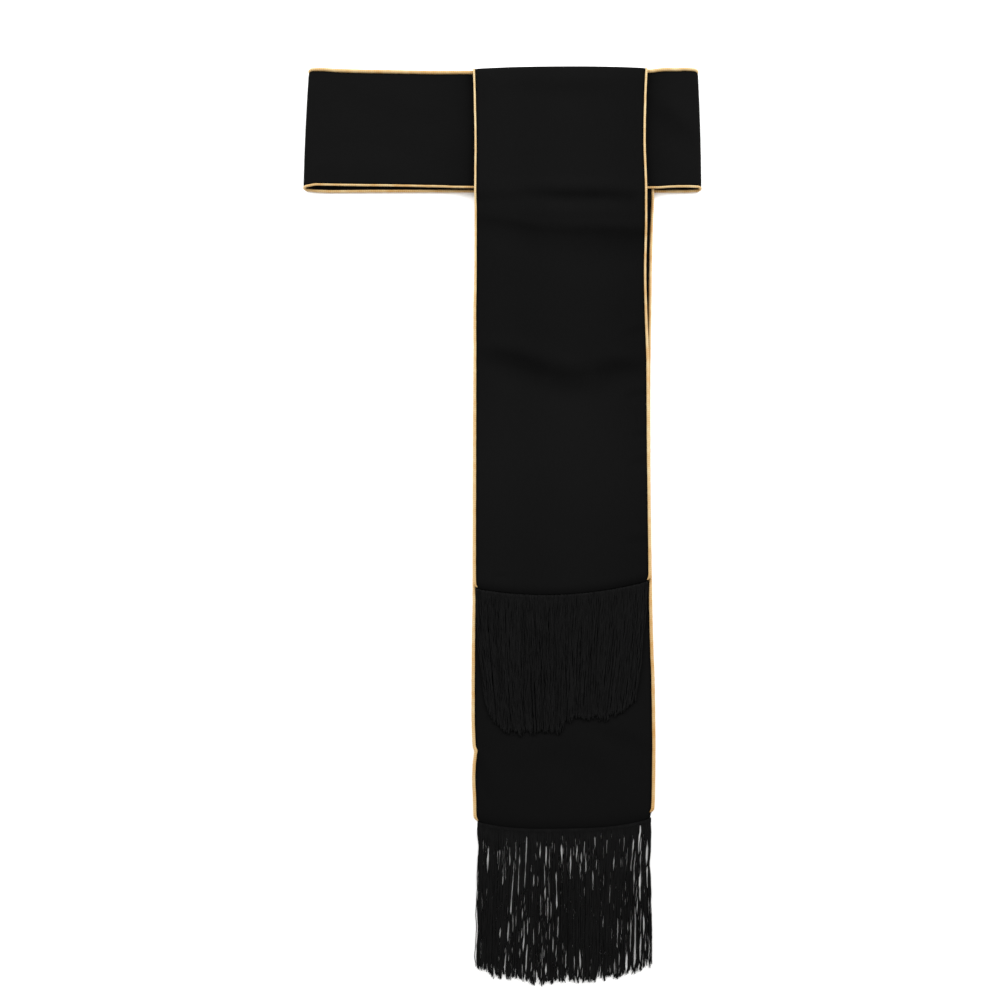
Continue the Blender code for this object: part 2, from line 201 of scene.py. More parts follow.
def clothPiece(name, middle, thickness, tone, finish):
    # a closed shell on a grid of points, its rim rounded all round
    rows, columns = middle.shape[:2]
    half = normalsOf(middle) * (thickness / 2)[..., None]
    flat = np.meshgrid(runAlong(middle[rows // 2]), runAlong(middle[:, columns // 2]))
    flat = np.stack(flat, axis=2).reshape(-1, 2)

    index = np.arange(rows * columns).reshape(rows, columns)
    ring = np.concatenate([index[0, :-1], index[:-1, -1], index[-1, :0:-1], index[:0:-1, 0]])
    i, j = np.divmod(ring, columns)
    edge = middle[i, j]
    out = np.zeros_like(edge)
    for inner in (middle[np.clip(i, 1, rows - 2), j], middle[i, np.clip(j, 1, columns - 2)]):
        out -= (inner - edge) / np.maximum(np.linalg.norm(inner - edge, axis=1, keepdims=True), 1e-9)
    rim = edge + unit(out) * thickness[i, j, None] * 0.42
    points = np.concatenate([(middle + half).reshape(-1, 3), (middle - half).reshape(-1, 3), rim])

    a, b = ring, np.roll(ring, -1)
    c = 2 * index.size + np.arange(len(ring))
    d = np.roll(c, -1)
    rimFaces = np.array([[a, c, d, b], [c, a + index.size, b + index.size, d]])
    rimFaces = rimFaces.transpose(2, 0, 1).reshape(-1, 4)
    faces = np.concatenate([quadsOf(index), quadsOf(index + index.size)[:, ::-1], rimFaces])
    uv = np.concatenate([flat, flat, flat[ring]])[faces.ravel()]
    tone = tone.ravel()
    tone = np.concatenate([tone, tone * 0, tone[ring]])
    return addPiece(name, points, faces.tolist(), uv, tone, finish)


def tubePiece(name, lines, sides, ups, radii, tone, around, finish):
    # round strands swept along lines of points, with closed ends; arrays are strand by station
    strands, stations = lines.shape[:2]
    angle = 2 * math.pi * np.arange(around)[:, None] / around
    ring = np.cos(angle) * sides[:, :, None] + np.sin(angle) * ups[:, :, None]
    points = (lines[:, :, None] + ring * radii[..., None, None]).reshape(-1, 3)
    down = np.array([runAlong(line) for line in lines])
    apart = 0.06225                      # so that neighbours' twists don't line up
    down += apart * np.arange(strands)[:, None]

    index = np.arange(len(points)).reshape(strands, stations, around)
    quads = quadsOf(np.concatenate([index, index[..., :1]], axis=2))
    u = np.arange(around + 1) / around * 2 * math.pi * radii.mean()
    u, v = np.broadcast_arrays(u, down[..., None])
    uv = np.stack([quadsOf(u), quadsOf(v)], axis=-1).reshape(-1, 2)
    caps = np.concatenate([index[:, 0, ::-1], index[:, -1]])
    capV = np.repeat(np.concatenate([down[:, 0], down[:, -1]]), around)
    uv = np.concatenate([uv, np.column_stack([0 * capV, capV])])
    tone = np.repeat(tone, around)
    return addPiece(name, points, quads.tolist() + caps.tolist(), uv, tone, finish)


# Finishes

def setInputs(tree, node, inputs):
    # inputs given as values, or as sockets to link from
    for key, value in inputs.items():
        if isinstance(value, bpy.types.NodeSocket):
            tree.links.new(value, node.inputs[key])
        else:
            node.inputs[key].default_value = value


def addNode(tree, kind, inputs=None, **settings):
    node = tree.nodes.new(kind)
    for key, value in settings.items():
        setattr(node, key, value)
    setInputs(tree, node, inputs or {})
    return node


def calculate(tree, operation, *values):
    return addNode(tree, "ShaderNodeMath", dict(enumerate(values)), operation=operation).outputs[0]


def arithmetic(tree):
    # sums, products and differences in one tree
    return [partial(calculate, tree, operation) for operation in ("ADD", "MULTIPLY", "SUBTRACT")]


def noiseOver(tree, vector, scale, detail, stretch=(1, 1, 1)):
    place = addNode(tree, "ShaderNodeMapping", {"Vector": vector, "Scale": stretch}).outputs[0]
    return addNode(tree, "ShaderNodeTexNoise", {"Vector": place, "Scale": scale, "Detail": detail}).outputs[0]


def addGroup(name, inputs, outputs):
    # a group that works from a place on a surface, in metres, and from named values
    group = bpy.data.node_groups.new(name, "ShaderNodeTree")
    group.interface.new_socket("Vector", in_out="INPUT", socket_type="NodeSocketVector")
    for way, titles in (("INPUT", inputs), ("OUTPUT", outputs)):
        for title in titles:
            group.interface.new_socket(title, in_out=way, socket_type="NodeSocketFloat")
    return group, group.nodes.new("NodeGroupInput").outputs, group.nodes.new("NodeGroupOutput")


def makePattern(name, inputs, relief):
    # a group with a height that the relief gives for a place, and the same kept from 0 to 1 as a tone
    group, entry, leave = addGroup(name, inputs, ("Height", "Tone"))
    x, y, _ = addNode(group, "ShaderNodeSeparateXYZ", {0: entry["Vector"]}).outputs
    height = relief(group, entry, x, y)
    tone = calculate(group, "MAXIMUM", calculate(group, "MINIMUM", height, 1.0), 0.0)
    setInputs(group, leave, {"Height": height, "Tone": tone})
    return group


def twillRelief(tree, entry, x, y):
    # threads crossing in a steep twill, with slubs
    plus, times, minus = arithmetic(tree)
    turns = times(entry["Threads per metre"], math.pi)
    across, along = times(x, turns), times(y, turns)
    rib = calculate(tree, "SINE", plus(across, times(along, 0.5)))
    warp, weft = [calculate(tree, "ABSOLUTE", calculate(tree, "SINE", way)) for way in (across, along)]
    weave = plus(plus(times(warp, 0.34), times(weft, 0.16)), times(plus(rib, 1.0), 0.25))
    slubs = noiseOver(tree, entry["Vector"], 900.0, 2.0, (1.0, 0.08, 1.0))
    return plus(weave, times(minus(slubs, 0.5), entry["Slub"]))


def twistRelief(tree, entry, x, y):
    # ridges that wind round a thread or cord, x round it and y along it
    plus, times, minus = arithmetic(tree)
    roundIt = calculate(tree, "DIVIDE", x, entry["Girth"])
    alongIt = calculate(tree, "DIVIDE", y, entry["Pitch"])
    wave = calculate(tree, "SINE", times(plus(roundIt, alongIt), 2 * math.pi))
    fibres = noiseOver(tree, entry["Vector"], 4200.0, 3.0, (1.0, 0.22, 1.0))
    return plus(times(plus(wave, 1.0), 0.5), times(minus(fibres, 0.5), entry["Fibres"]))


def makeToneDrift():
    # slow cloudy change over a surface
    group, entry, leave = addGroup("toneDrift", ("Size",), ("Mask",))
    setInputs(group, leave, {"Mask": noiseOver(group, entry["Vector"], entry["Size"], 4.0)})
    return group


twillWeave = makePattern("twillWeave", ("Threads per metre", "Slub"), twillRelief)
plyTwist = makePattern("plyTwist", ("Pitch", "Girth", "Fibres"), twistRelief)
toneDrift = makeToneDrift()


def placeGroup(tree, group, vector, values):
    return addNode(tree, "ShaderNodeGroup", {"Vector": vector, **values}, node_tree=group).outputs


def colourBetween(tree, factor, low, high):
    # sockets 6 and 7 of this node are its two colours, and output 2 the mixed one
    inputs = {"Factor": factor, 6: (*low, 1), 7: (*high, 1)}
    return addNode(tree, "ShaderNodeMix", inputs, data_type="RGBA").outputs[2]


def startFinish(name):
    finish = bpy.data.materials.new(name)
    finish.use_nodes = True
    return finish, finish.node_tree, finish.node_tree.nodes["Principled BSDF"]


def makeFinish(name, group, look):
    # colour, gloss and relief follow a weave or twist, a slow drift, and the tone stored on the piece, which
    # carries painted light and shade
    finish, tree, shader = startFinish(name)
    plus, times, minus = arithmetic(tree)
    uv = addNode(tree, "ShaderNodeUVMap", uv_map="UVMap").outputs[0]
    pattern = placeGroup(tree, group, uv, look["pattern"])
    drift = placeGroup(tree, toneDrift, uv, {"Size": look["driftSize"]})
    stored = addNode(tree, "ShaderNodeAttribute", attribute_name="tone").outputs["Fac"]
    patternShare, driftShare, toneShare = look["shares"]
    threads = times(minus(pattern["Tone"], 0.5), patternShare)
    clouds = times(minus(drift["Mask"], 0.5), driftShare)
    tone = plus(plus(threads, clouds), plus(times(stored, toneShare), 0.5))
    roughness, byThreads, byClouds = look["roughness"]
    rougher = plus(times(threads, byThreads), times(clouds, byClouds))
    relief = {"Height": pattern["Height"], "Strength": 1.0, "Distance": look["relief"]}
    setInputs(tree, shader, {
        "Base Color": colourBetween(tree, tone, look["valley"], look["crown"]),
        "Roughness": plus(rougher, roughness),
        "Normal": addNode(tree, "ShaderNodeBump", relief).outputs[0],
        **look["shader"],
    })
    return finish


# shares are those of the pattern, the drift and the stored tone; roughness is followed by how much
# the pattern and the drift change it
blackCloth = makeFinish("blackCloth", twillWeave, {
    "valley": (0.00072, 0.00072, 0.00075), "crown": (0.00495, 0.00495, 0.00495),
    "pattern": {"Threads per metre": 2200.0, "Slub": 0.35}, "relief": 0.00005, "driftSize": 14.0,
    "shares": (0.45, 0.25, 0.667), "roughness": (0.86, 0.0, 0.64), "shader": {"Specular IOR Level": 0.035},
})
goldPiping = makeFinish("goldPiping", plyTwist, {
    "valley": (0.38, 0.195, 0.050), "crown": (0.52, 0.415, 0.225),
    "pattern": {"Pitch": 0.0021, "Girth": 0.0088, "Fibres": 0.35}, "relief": 0.00006, "driftSize": 70.0,
    "shares": (0.35, 1.3, 1.6), "roughness": (0.46, -0.2, 0.0),
    "shader": {"Specular IOR Level": 0.24, "Sheen Weight": 0.05, "Sheen Roughness": 0.4},
})
blackStrands = makeFinish("blackFringe", plyTwist, {
    "valley": (0.00082, 0.00082, 0.00086), "crown": (0.0062, 0.0062, 0.0062),
    "pattern": {"Pitch": 0.0017, "Girth": 0.0026, "Fibres": 0.5}, "relief": 0.00009, "driftSize": 120.0,
    "shares": (0.5, 1.0, 0.65), "roughness": (0.55, -0.2, 0.0), "shader": {"Specular IOR Level": 0.05},
})
blackThread = makeFinish("blackThread", plyTwist, {
    "valley": (0.00072, 0.00072, 0.00075), "crown": (0.0042, 0.0042, 0.0042),
    "pattern": {"Pitch": 0.0006, "Girth": 0.0008, "Fibres": 0.3}, "relief": 0.00003, "driftSize": 60.0,
    "shares": (0.4, 0.3, 0.65), "roughness": (0.7, -0.2, 0.0), "shader": {"Specular IOR Level": 0.04},
})
print("finishes made")


# Cloth

# painted shade in creases: the stored tone gets darker in proportion to a trough's depth
creaseShadePerMetre = 280.0                     # how much darker a trough looks for its depth


def edgeThickness(fromSide, fromHem):
    # the cloth thins into its pipings and hem and is a little fuller just inside them
    share = 1 - 0.32 * bell(fromSide / 0.0016) - 0.22 * bell(fromHem / 0.0012)
    return clothThickness * (share + 0.04 * bell((fromSide - 0.005) / 0.003))


def paintedGrooveShade(fromSide):
    # painted shade: darker in the sewn groove beside a piping
    return -0.45 * bell(fromSide / 0.0019)


def addCloth(node, middle, thickness, tone):
    piece = clothPiece(node + "_cloth", middle, thickness, tone, blackCloth)
    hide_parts(node)
    return piece


# Waistband

waistbandSpec = {
    # x, lower and upper outer edge over the pipings, height of the cloth's middle
    "front": inMetres([
        (-198.1, 334.5, 463, 5.6), (-188, 336.2, 463.1, 5.5), (-172, 336.1, 462.2, 5.2),
        (-140, 335.7, 461.3, 4.9), (-105, 335.3, 460.7, 4.8), (-80, 334.7, 460.1, 5.2),
        (-60, 333.9, 459.6, 6.2), (-45, 333, 459.3, 7.3), (-35, 332.8, 459.2, 7.6),
        (60, 332.7, 459.6, 7.6), (152, 332.3, 460.2, 7.6), (160, 332.4, 461.1, 7.6),
        (170, 333.2, 462.1, 7.3), (182, 333.9, 462.3, 6.4), (190, 334.1, 463, 5.9),
        (199.9, 333.7, 462.6, 5.6),
    ]),
    "back": inMetres([
        (199.9, 331.2, 459.4, 0.8), (189, 330.5, 457.8, 0.8), (170, 330.4, 457.1, 0.8),
        (150, 330.7, 457.1, 0.8), (-120, 330.7, 457.1, 0.8), (-170, 330.3, 457.1, 0.8),
        (-188, 330.8, 458, 0.8), (-198.1, 332, 460, 0.8),
    ]),
    "closingX": 0.0600, "foldRadius": 0.0024, "foldSteps": 16, "foldBow": 0.0007,
    # x and slant of each fold
    "leftFold": (-0.1981, 0.0018), "rightFold": (0.1999, -0.0008),
    "creases": [
        # diagonal crease on the short stretch, and soft pulls on both stretches
        [(154.3, 423.2, 7, 11, 0.3), (174.6, 404.8, 9, 13, 0.7), (194.9, 385.4, 7, 11, 0.3)],
        [(-170, 445, 9, 11, 0.1), (-118, 418, 12, 15, 0.2), (-70, 408, 8, 10, 0.1)],
        [(-186, 360, 8, 8, -0.1), (-135, 368, 11, 11, -0.3), (-85, 356, 9, 9, -0.1)],
    ],
    "backCreases": [
        [(-150, 350, 7, 7, 0.1), (-100, 378, 9, 9, 0.4), (-50, 386, 7, 7, 0.2)],
        [(90, 435, 7, 7, 0.2), (130, 415, 9, 9, 0.4), (170, 408, 7, 7, 0.1)],
    ],
    # unevenness by seed, height and wave lengths: a swell that fades out at the edges, and beside them
    # a pucker that fades out inwards; the hidden stretches only stand up from the surface
    "swell": (12, 0.00028, (0.05, 0.11)), "fadeOut": 0.02,
    "pucker": (13, 0.0001, (0.009, 0.013, 0.021)), "puckerReach": 0.006,
    "backSwell": (15, 0.0002, (0.06, 0.1)), "backLift": 0.0003,
    # painted shadow on the cloth beside the tail that lies over it: x of the tail's edges, share, reach
    "tailEdges": (-0.0300, 0.1490), "shadowBesideTail": -0.46, "besideReach": 0.0200,
    # and painted shade where it turns over at the ends
    "foldShade": -0.24,
}


def layWaistband(spec):
    (left, leftSlant), (right, rightSlant) = spec["leftFold"], spec["rightFold"]
    closing = spec["closingX"]
    u = edgeStations(bandWidth, columnStep) / bandWidth

    def section(x, low, high, z, slant, bow):
        return pointRow(x + slant * (2 * u - 1) + bow * 4 * u * (1 - u), acrossCloth(low, high, u), z)

    def wall(table, xs):
        slants = np.interp(xs, [left, right], [leftSlant, rightSlant])
        bows = spec["foldBow"] * (xs / right) ** 5
        return [section(x, *row, slant, bow)
                for x, row, slant, bow in zip(xs, curveThrough(table, xs), slants, bows)]

    def fold(x, slant, outward, shares):
        back, front = curveThrough(spec["back"], [x])[0], curveThrough(spec["front"], [x])[0]
        rows = []
        for share in shares:
            low, high, _ = back + (front - back) * share
            push = outward * spec["foldRadius"] * math.sin(math.pi * share)
            z = back[2] + spec["foldRadius"] * (1 - math.cos(math.pi * share))
            rows.append(section(x + push, low, high, z, slant, outward * spec["foldBow"]))
        return rows

    # the loop starts at the closing and runs left along the back, so +u is up and the outside faces out
    shares = np.arange(1, spec["foldSteps"]) / spec["foldSteps"]
    toRight = edgeStations(right - closing - seamGap, rowStep, bothEnds=False)[::-1]
    stretches = [
        wall(spec["back"], closing - edgeStations(closing - left, rowStep, bothEnds=False)),
        fold(left, leftSlant, -1, shares),
        wall(spec["front"], np.linspace(left, right, round((right - left) / rowStep))),
        fold(right, rightSlant, 1, shares[::-1]),
        wall(spec["back"], closing + seamGap + toRight),
    ]
    atLeft, atFront, atRight, atBack = np.cumsum([len(rows) for rows in stretches])[:4]
    middle = np.concatenate(stretches)
    x, y = middle[..., 0], middle[..., 1]
    down = runAlong(middle[:, 20])[:, None]
    fromEdge = np.minimum(u, 1 - u)[None] * bandWidth + 0 * down
    index = np.arange(len(middle))[:, None] + 0 * x
    onFront = smooth((index - atFront) / 4) * smooth((atRight - index) / 4)
    onBack = np.where(index < atLeft, smooth((atLeft - index) / 4), smooth((index - atBack) / 4))
    hold = smooth(fromEdge / spec["fadeOut"])
    creased = creaseHeight(x, y, spec["creases"], 11)
    pucker = np.exp(-fromEdge / spec["puckerReach"]) * ripple(down, *spec["pucker"])
    middle[..., 2] += onFront * (creased + hold * softWaves(x, y, *spec["swell"]) + pucker)
    backLift = creaseHeight(x, y, spec["backCreases"], 14) + softWaves(x, y, *spec["backSwell"])
    middle[..., 2] += onBack * hold * np.maximum(backLift + spec["backLift"], 0.0)
    # painted shadow on the front stretch beside both edges of the tail
    beside = np.minimum(*(np.abs(x - edge) for edge in spec["tailEdges"]))
    tailShadow = spec["shadowBesideTail"] * np.exp(-beside / spec["besideReach"])
    tone = onFront * (tailShadow + creaseShadePerMetre * creased) + paintedGrooveShade(fromEdge)
    # painted shade on the turns at the ends, between the front and back stretches
    facing = smooth((index - atFront + 5) / 6) * smooth((atRight + 5 - index) / 6)
    tone += spec["foldShade"] * (1 - facing) * (1 - onBack)
    return middle, edgeThickness(fromEdge, 1.0), tone


bandMiddle, bandThickness, bandTone = layWaistband(waistbandSpec)
waistband = addCloth("waistband", bandMiddle[::-1], bandThickness[::-1], bandTone[::-1])
print("waistband made", bandMiddle.shape)


# Tails

frontTailSpec = {
    # y, left and right outer edge over the pipings
    "edges": inMetres([
        (-86, -25.2, 145), (-79, -27.8, 147.4), (-72, -28.8, 148.2), (-43, -29, 148.3), (60, -29, 148.1),
        (150, -29, 148.5), (195, -29.1, 147.5), (240, -28.6, 146.8), (300, -28.4, 148.2),
        (331, -28.8, 148.5), (380, -28.6, 147.5), (427, -29.4, 148.6), (462, -30.4, 150.2),
    ]),
    # y, tilt, share of the fold line's wander, share of the hem's curve, height at the edges and in the
    # middle
    "sections": inMetres([
        (-78.4, 0, 0, 1, 4.1, 3.5), (-74.5, 0, 0, 1, 4.2, 3.7), (-68, 0, 0, 0.9, 4.2, 3.8),
        (-56, 0, 0, 0.6, 4.2, 4.3), (-35, 0, 0, 0.2, 4.2, 4.9), (0, 0, 0, 0, 4.2, 5.4),
        (40, 0, 0, 0, 4.2, 5.2), (80, 0, 0.2, 0, 4.2, 4.3), (112, 0, 0.6, 0, 4.2, 3.4),
        (132, 0, 0.9, 0, 4.2, 3.1), (142, 0, 1, 0, 4.2, 3.4), (152, 0, 1, 0, 4.3, 4.9),
        (162, 0, 1, 0, 4.4, 6.1), (176, 0, 0.7, 0, 4.4, 6.5), (205, 2, 0.3, 0, 4.4, 6.2),
        (240, 5, 0, 0, 4.4, 5.5), (268, 9, 0, 0, 4.6, 5.2), (282, 12, 0, 0, 4.9, 5.6),
        (291, 13, 0, 0, 6, 6.7), (299, 13, 0, 0, 7.5, 8.2), (308, 8, 0, 0, 8.4, 8.9),
        (318, 3, 0, 0, 9, 9.1), (325, 0, 0, 0, 10.2, 9.9), (331, 0, 0, 0, 11.1, 11),
        (337, 0, 0, 0, 11.1, 11.1), (347, 0, 0, 0, 10.7, 10.8), (370, 0, 0, 0, 10.2, 10.5),
        (410, 0, 0, 0, 10.2, 10.6), (440, 0, 0, 0, 10.5, 10.8), (452, 0, 0, 0, 11, 11.1),
    ], 2, 3),
    "wander": inMetres([(0, 9), (0.22, 1), (0.47, -11), (0.7, -7), (1, 0)], 0),
    # the hem's left end, right end, bow and power; how much painted shade darkens the cloth above it, and
    # reach
    "hem": (-0.0026, 0.0050, 0.0095, 2.0), "hemShade": (-0.56, 0.0062),
    # the turn over the waistband, and the return under it down to endY, with painted shade over the turn's
    # far side
    "turnY": 0.462, "turnRadius": 0.00345, "turnHeight": 0.00765, "turnBow": 0.0023, "turnSteps": 16,
    "turnShade": -0.26, "returnY": 0.456, "endY": 0.425, "stackHeight": 0.0042,
    "swell": (31, 0.0003, (0.055, 0.12, 0.2)), "fadeOut": 0.025,
    "pucker": (33, 0.00011, (0.0085, 0.012, 0.019)), "puckerReach": 0.007,
    # it lies on the back tail up to this y, no lower than its own cloth allows, and settles this softly
    "onBackTail": 0.30, "clearance": 0.0002, "soft": 0.0004,
    "creases": [
        # below the waistband's edge, and the drop from it to the back tail
        [(18, 328, 5.5, 6, 0.1), (43.8, 326.2, 6, 6, 0.8), (69.3, 324.5, 6, 6.5, 1.2),
         (102, 324.5, 6, 6, 1.1), (129, 322.5, 5.5, 6, 0.5)],
        [(-26, 300, 4, 9, 0.3), (10.2, 292.5, 4, 13, 0.5), (35.6, 288.5, 4, 17, 0.8),
         (74.3, 285.3, 4.5, 20, 0.8), (112, 285, 5, 20, 1), (144, 282.8, 5, 19, 0.9)],
        # the long wavy fold line across the middle
        [(-23, 158, 7, 11, 0.3), (0, 156, 7.5, 13, 0.9), (18.1, 151.5, 8, 15, 1.2),
         (43.3, 141, 9, 14, 1.2), (68.5, 132, 9, 14, 1.1), (90.6, 131, 9.5, 13, 0.8),
         (110.9, 143, 8, 12, 0.9), (136.1, 145, 6, 9, 0.6)],
        # puckers beside the right piping
        [(144, 184.5, 4, 4.5, 0.4), (133.4, 181.5, 4.5, 5, 0.4), (124, 179, 4, 4.5, 0.1)],
        [(144, 119, 4, 4.5, 0.4), (130.7, 115.9, 4.5, 5, 0.4), (122, 112, 4, 4.5, 0.1)],
        [(144, 76, 3.5, 4, 0.4), (135.3, 74.5, 4, 4.5, 0.3), (128, 72, 3.5, 4, 0.1)],
        [(144, 48, 3.5, 4, 0.4), (135, 46.8, 4, 4.5, 0.3), (127, 44, 3.5, 4, 0.1)],
        [(144, -32, 4, 4.5, 0.4), (131.2, -32.8, 4.5, 5, 0.4), (121, -35, 4, 4.5, 0.1)],
        # the turned hem shows through as a short dent
        [(-8, -69.8, 1.4, 1.4, 0.1), (-1.5, -68.8, 1.6, 1.6, 0.6), (6, -69.6, 1.4, 1.4, 0.1)],
        # faint shade along the top of the turn
        [(10, 443, 7, 9, 0.1), (42, 441.5, 8, 10, 0.3), (76, 439.5, 8.5, 11, 0.4),
         (106, 440.8, 7, 9, 0.1)],
    ],
    # painted light and shade down the tail by y, and across it by share
    "paintedShadingDown": inMetres([
        (-79, 0), (-70, 0), (-40, 0.01), (0, 0.05), (50, 0.12), (85, 0.08), (115, 0), (170, -0.12),
        (250, -0.13), (300, -0.08), (330, -0.02), (420, -0.02), (440, -0.04), (455, 0.07),
    ], 1),
    "paintedShadingAcross": np.array([
        (0, -0.02), (0.15, 0.03), (0.32, -0.03), (0.55, 0.04), (0.68, 0), (0.8, -0.06), (0.93, -0.15),
        (1, -0.17),
    ]),
}
backTailSpec = {
    "edges": inMetres([
        (-318.5, -23.8, 144.8), (-310, -26.4, 146.6), (-305, -28, 147.7), (-299, -28.3, 148.7),
        (-291, -28.4, 149.1), (-271, -29.3, 149.7), (-256, -28.8, 150), (-247, -28, 150.2),
        (-238, -28.9, 150.4), (-210, -30, 150.4), (-170, -30, 150.2), (-143, -29.9, 149.4),
        (-92, -29.2, 148.8), (10, -29.2, 148.7), (130, -29, 149.6), (170, -28.6, 150.6), (227, -27.2, 152),
        (280, -25, 153.5), (329, -22.4, 155.6), (424.7, -21.8, 156),
    ]),
    # y, share of the hem's curve, height
    "sections": inMetres([
        (-309.8, 1, 0.8), (-305.5, 1, 0.8), (-299, 0.9, 0.8), (-285, 0.5, 0.8), (-256, 0.1, 0.8),
        (-247, 0, 0.8), (306, 0, 0.8), (311, 0, 1.1), (317, 0, 2.1), (323, 0, 3.3), (328, 0, 4),
        (332, 0, 4.2), (424.7, 0, 4.2),
    ], 1),
    # the hem as on the front tail, with painted shade above it
    "hem": (-0.0015, 0.0015, 0.0082, 3.0), "hemShade": (-0.38, 0.0070),
    # its unevenness ends below the waistband and only stands up from the surface
    "swell": (21, 0.0003, (0.06, 0.13, 0.22)), "lift": 0.00035, "fadeOut": 0.03, "hemFadeOut": 0.02,
    "pucker": (23, 0.00009, (0.009, 0.013, 0.022)), "puckerReach": 0.006, "evenFromY": 0.30,
    "creases": [
        [(93.2, -222, 6, 7, 0.1), (117.7, -229.9, 6.5, 8, 0.4), (142.2, -236.8, 6, 7, 0.3)],
        [(-24.6, -246.6, 3.5, 4, 0.4), (-17.7, -263.3, 4.5, 5, 0.4), (-11.8, -285.9, 4, 5, 0.1)],
        [(15, -255, 9, 11, 0.1), (60, -248, 12, 14, 0.3), (100, -262, 9, 11, 0.1)],
        [(-10, 60, 9, 11, 0.1), (50, 45, 11, 13, 0.4), (125, 62, 9, 11, 0.2)],
        [(10, 250, 8, 9, 0.1), (80, 230, 10, 11, 0.4), (135, 242, 8, 9, 0.1)],
    ],
    # painted light and shade down and across the back tail
    "paintedShadingDown": inMetres([(-318.5, -0.09), (-210, -0.09), (424.7, -0.06)], 1),
    "paintedShadingAcross": np.array([
        (0, -0.06), (0.2, -0.02), (0.52, 0.03), (0.75, 0), (0.9, 0), (1, 0.02),
    ]),
}
tailColumns = edgeStations(tailWidth, columnStep) / tailWidth


def hemLine(hem, u):
    left, right, bow, power = hem
    return left + (right - left) * u - bow * (1 - np.abs(2 * u - 1) ** power)


def edgeXs(spec, y, u):
    return acrossCloth(*curveThrough(spec["edges"], [y])[0], u)


def fromHemUp(sections):
    # y and the table's values for each row of points, from the hem to the last section
    ys = sections[0, 0] + edgeStations(sections[-1, 0] - sections[0, 0], rowStep, bothEnds=False)
    return zip(ys, curveThrough(sections, ys))


def placesOn(middle, u):
    # x, y, and how far each point is from the hem and from the nearer side
    x, y = middle[..., 0], middle[..., 1]
    fromHem = runAlong(middle[:, middle.shape[1] // 2])[:, None] + 0 * x
    return x, y, fromHem, np.minimum(u, 1 - u)[None] * tailWidth + 0 * x


# painted light and shade over a tail: down and across it, in its troughs, beside its pipings and above its
# hem
def paintedTailShading(spec, y, u, fromSide, fromHem, creased):
    down = curveThrough(spec["paintedShadingDown"], y.ravel())[:, 0].reshape(y.shape)
    across = curveThrough(spec["paintedShadingAcross"], u)[:, 0][None]
    shade, reach = spec["hemShade"]
    return down + across + creaseShadePerMetre * creased + paintedGrooveShade(fromSide) + shade * bell(fromHem / reach)


def layBackTail(spec, u):
    hem = hemLine(spec["hem"], u)
    middle = np.array([pointRow(edgeXs(spec, y, u), y + hemShare * hem, z)
                       for y, (hemShare, z) in fromHemUp(spec["sections"])])
    x, y, fromHem, fromSide = placesOn(middle, u)
    creased = creaseHeight(x, y, spec["creases"], 22)
    swell = spec["lift"] + softWaves(x, y, *spec["swell"]) + creased
    hold = smooth(fromSide / spec["fadeOut"]) * smooth(fromHem / spec["hemFadeOut"])
    pucker = smooth(fromSide / 0.0015) * np.exp(-fromSide / spec["puckerReach"])
    pucker *= spec["pucker"][1] + ripple(fromHem, *spec["pucker"])
    middle[..., 2] += smooth((spec["evenFromY"] - y) / 0.03) * (hold * np.maximum(swell, 0.0) + pucker)
    return middle, edgeThickness(fromSide, fromHem), paintedTailShading(spec, y, u, fromSide, fromHem, creased)


def layFrontTail(spec, bandSpec, u):
    wander = curveThrough(spec["wander"], u)[:, 0]
    hem = hemLine(spec["hem"], u)
    bulge = np.abs(2 * u - 1) ** 3
    rows = []
    for y, (tilt, wanderShare, hemShare, edge, centre) in fromHemUp(spec["sections"]):
        along = y + tilt * (0.5 - u) + wanderShare * wander + hemShare * hem
        rows.append(pointRow(edgeXs(spec, y, u), along, centre + (edge - centre) * bulge))
    turnFrom = len(rows)
    x = edgeXs(spec, spec["turnY"], u)
    bandTop = curveThrough(bandSpec["front"], x)[:, 1] - cordSolidRadius
    over = bandTop + spec["turnBow"] * (1 - np.abs(2 * u - 1) ** 2.5)
    radius, top = spec["turnRadius"], rows[-1]
    start = pointRow(x, over, spec["turnHeight"] + radius)
    rows += [top + (start - top) * share for share in (0.35, 0.7)]
    for angle in np.linspace(0, math.pi, spec["turnSteps"]):
        z = spec["turnHeight"] + radius * math.cos(angle)
        rows.append(pointRow(x, over + radius * math.sin(angle), z))
    rows += [pointRow(x, y, spec["stackHeight"]) for y in np.linspace(spec["returnY"], spec["endY"], 13)]
    middle = np.array(rows)
    x, y, fromHem, fromSide = placesOn(middle, u)
    index = np.arange(len(middle))[:, None] + 0 * x
    onTop = smooth((turnFrom + 1 - index) / 3)
    creased = creaseHeight(x, y, spec["creases"], 32)
    swell = smooth(fromSide / spec["fadeOut"]) * softWaves(x, y, *spec["swell"])
    pucker = np.exp(-fromSide / spec["puckerReach"]) * ripple(fromHem, *spec["pucker"])
    z = middle[..., 2] + onTop * (creased + swell + pucker)
    lowest = 1.5 * clothThickness + spec["clearance"]
    raised = lowest + spec["soft"] * np.log1p(np.exp((z - lowest) / spec["soft"]))
    middle[..., 2] = np.where(y < spec["onBackTail"], raised, z)
    tone = paintedTailShading(spec, y, u, fromSide, fromHem, onTop * creased)
    # painted shade over the far side of the turn and the return under the waistband
    tone += spec["turnShade"] * smooth((index - turnFrom - 2) / 5)
    return middle, edgeThickness(fromSide, fromHem), tone


backMiddle, backThickness, backTone = layBackTail(backTailSpec, tailColumns)
frontMiddle, frontThickness, frontTone = layFrontTail(frontTailSpec, waistbandSpec, tailColumns)
tailBack = addCloth("tail_back", backMiddle, backThickness, backTone)
tailFront = addCloth("tail_front", frontMiddle, frontThickness, frontTone)
print("tails made", backMiddle.shape, frontMiddle.shape)


# Pipings

